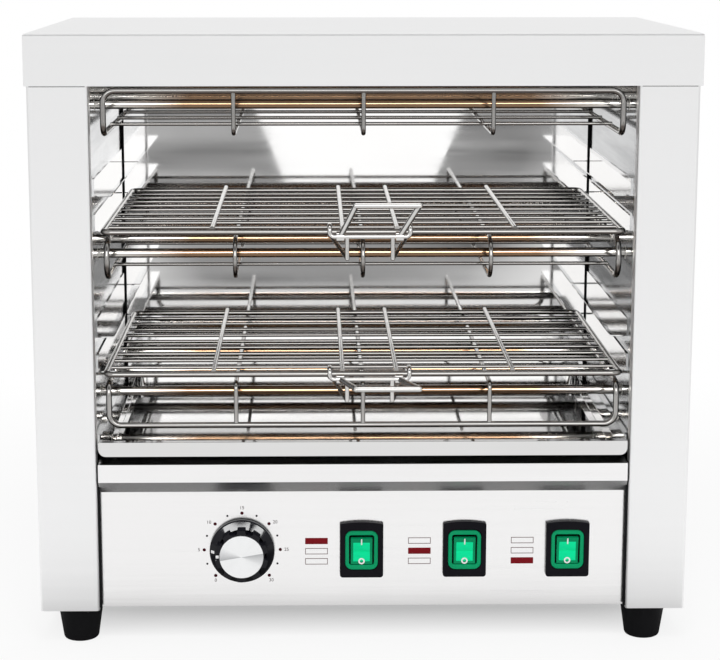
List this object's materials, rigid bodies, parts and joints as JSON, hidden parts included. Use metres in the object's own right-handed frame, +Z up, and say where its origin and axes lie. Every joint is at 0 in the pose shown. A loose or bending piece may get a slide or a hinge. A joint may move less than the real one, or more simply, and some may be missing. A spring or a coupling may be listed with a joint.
{
  "type": "salamander grill",
  "caption": "Open-fronted two-level countertop grill with tubular heaters, pull-out wire racks, a drip tray, a timer and rocker switches",
  "frame": {"origin": "on the table under the middle of the whole part", "axes": "+X to the right seen from the front, +Y to the back, +Z up"},
  "size_m": [0.4406, 0.2934, 0.415],
  "materials": {
    "brushed_steel": "fine brushed stainless steel",
    "panel_steel": "fine brushed stainless steel, printed dial marks",
    "polished_steel": "bright polished stainless sheet",
    "heater_tube": "heat-tinted golden brown steel sheath",
    "ceramic": "unglazed white ceramic",
    "brass": "plain brass pin",
    "wire_steel": "bright stainless wire",
    "knob_black": "glossy black plastic",
    "spun_aluminium": "spun face with fine concentric lines",
    "plated_steel": "zinc plated steel",
    "timer_case": "pale moulded plastic",
    "switch_black": "black moulded plastic",
    "boot_green": "dark green sealing boot",
    "rocker_green": "bright green lens",
    "terminal_ivory": "ivory plastic",
    "rubber": "black rubber"
  },
  "bodies": {
    "casing": {"top_cover": "brushed_steel", "left_side_panel": "brushed_steel", "right_side_panel": "brushed_steel", "rear_panel": "brushed_steel", "base_plate": "brushed_steel", "control_panel": "panel_steel", "left_liner": "polished_steel", "right_liner": "polished_steel", "back_liner": "polished_steel", "ceiling_plate": "polished_steel", "oven_floor": "polished_steel", "left_rack_rails": "polished_steel", "right_rack_rails": "polished_steel", "left_tray_runner": "polished_steel", "right_tray_runner": "polished_steel", "top_front_heater": "heater_tube", "top_middle_heater": "heater_tube", "top_rear_heater": "heater_tube", "middle_front_heater": "heater_tube", "middle_middle_heater": "heater_tube", "middle_rear_heater": "heater_tube", "bottom_front_heater": "heater_tube", "bottom_middle_heater": "heater_tube", "bottom_rear_heater": "heater_tube", "heater_bushes": "ceramic", "heater_terminals": "brass", "top_guard": "wire_steel", "middle_guard": "wire_steel", "bottom_guard": "wire_steel", "timer_nut": "plated_steel", "foot_screws": "plated_steel", "panel_screws": "plated_steel", "rear_screws": "plated_steel", "timer_body": "timer_case", "top_switch_frame": "switch_black", "middle_switch_frame": "switch_black", "bottom_switch_frame": "switch_black", "top_switch_body": "switch_black", "middle_switch_body": "switch_black", "bottom_switch_body": "switch_black", "cable_gland": "switch_black", "gland_nut": "switch_black", "top_switch_boot": "boot_green", "middle_switch_boot": "boot_green", "bottom_switch_boot": "boot_green", "terminal_block": "terminal_ivory", "feet": "rubber"},
    "upper_rack": {"upper_rack": "wire_steel", "upper_handle_bracket": "wire_steel"},
    "lower_rack": {"lower_rack": "wire_steel", "lower_handle_bracket": "wire_steel"},
    "upper_bail": {"upper_bail": "wire_steel"},
    "lower_bail": {"lower_bail": "wire_steel"},
    "drip_tray": {"drip_tray": "polished_steel"},
    "timer_knob": {"timer_knob": "knob_black", "knob_cap": "spun_aluminium", "timer_shaft": "plated_steel"},
    "top_rocker": {"top_rocker": "rocker_green"},
    "middle_rocker": {"middle_rocker": "rocker_green"},
    "bottom_rocker": {"bottom_rocker": "rocker_green"}
  },
  "joints": [
    {"name": "upper_rack_slide", "type": "slide", "parent": "casing", "child": "upper_rack", "axis": [0, -1, 0], "range_m": [0, 0.15]},
    {"name": "lower_rack_slide", "type": "slide", "parent": "casing", "child": "lower_rack", "axis": [0, -1, 0], "range_m": [0, 0.15]},
    {"name": "drip_tray_slide", "type": "slide", "parent": "casing", "child": "drip_tray", "axis": [0, -1, 0], "range_m": [0, 0.17]},
    {"name": "upper_bail_turn", "type": "hinge", "parent": "upper_rack", "child": "upper_bail", "pos_m": [0.004, -0.11663, 0.2823], "axis": [-1, 0, 0], "range_deg": [-55, 45]},
    {"name": "lower_bail_turn", "type": "hinge", "parent": "lower_rack", "child": "lower_bail", "pos_m": [0.004, -0.11663, 0.1863], "axis": [-1, 0, 0], "range_deg": [0, 100]},
    {"name": "timer_knob_turn", "type": "hinge", "parent": "casing", "child": "timer_knob", "pos_m": [-0.082, -0.10933, 0.066], "axis": [0, 1, 0], "range_deg": [-45, 225]},
    {"name": "top_rocker_tip", "type": "hinge", "parent": "casing", "child": "top_rocker", "pos_m": [-0.001, -0.10433, 0.066], "axis": [-1, 0, 0], "range_deg": [0, 12]},
    {"name": "middle_rocker_tip", "type": "hinge", "parent": "casing", "child": "middle_rocker", "pos_m": [0.069, -0.10433, 0.066], "axis": [-1, 0, 0], "range_deg": [0, 12]},
    {"name": "bottom_rocker_tip", "type": "hinge", "parent": "casing", "child": "bottom_rocker", "pos_m": [0.139, -0.10433, 0.066], "axis": [-1, 0, 0], "range_deg": [0, 12]}
  ]
}
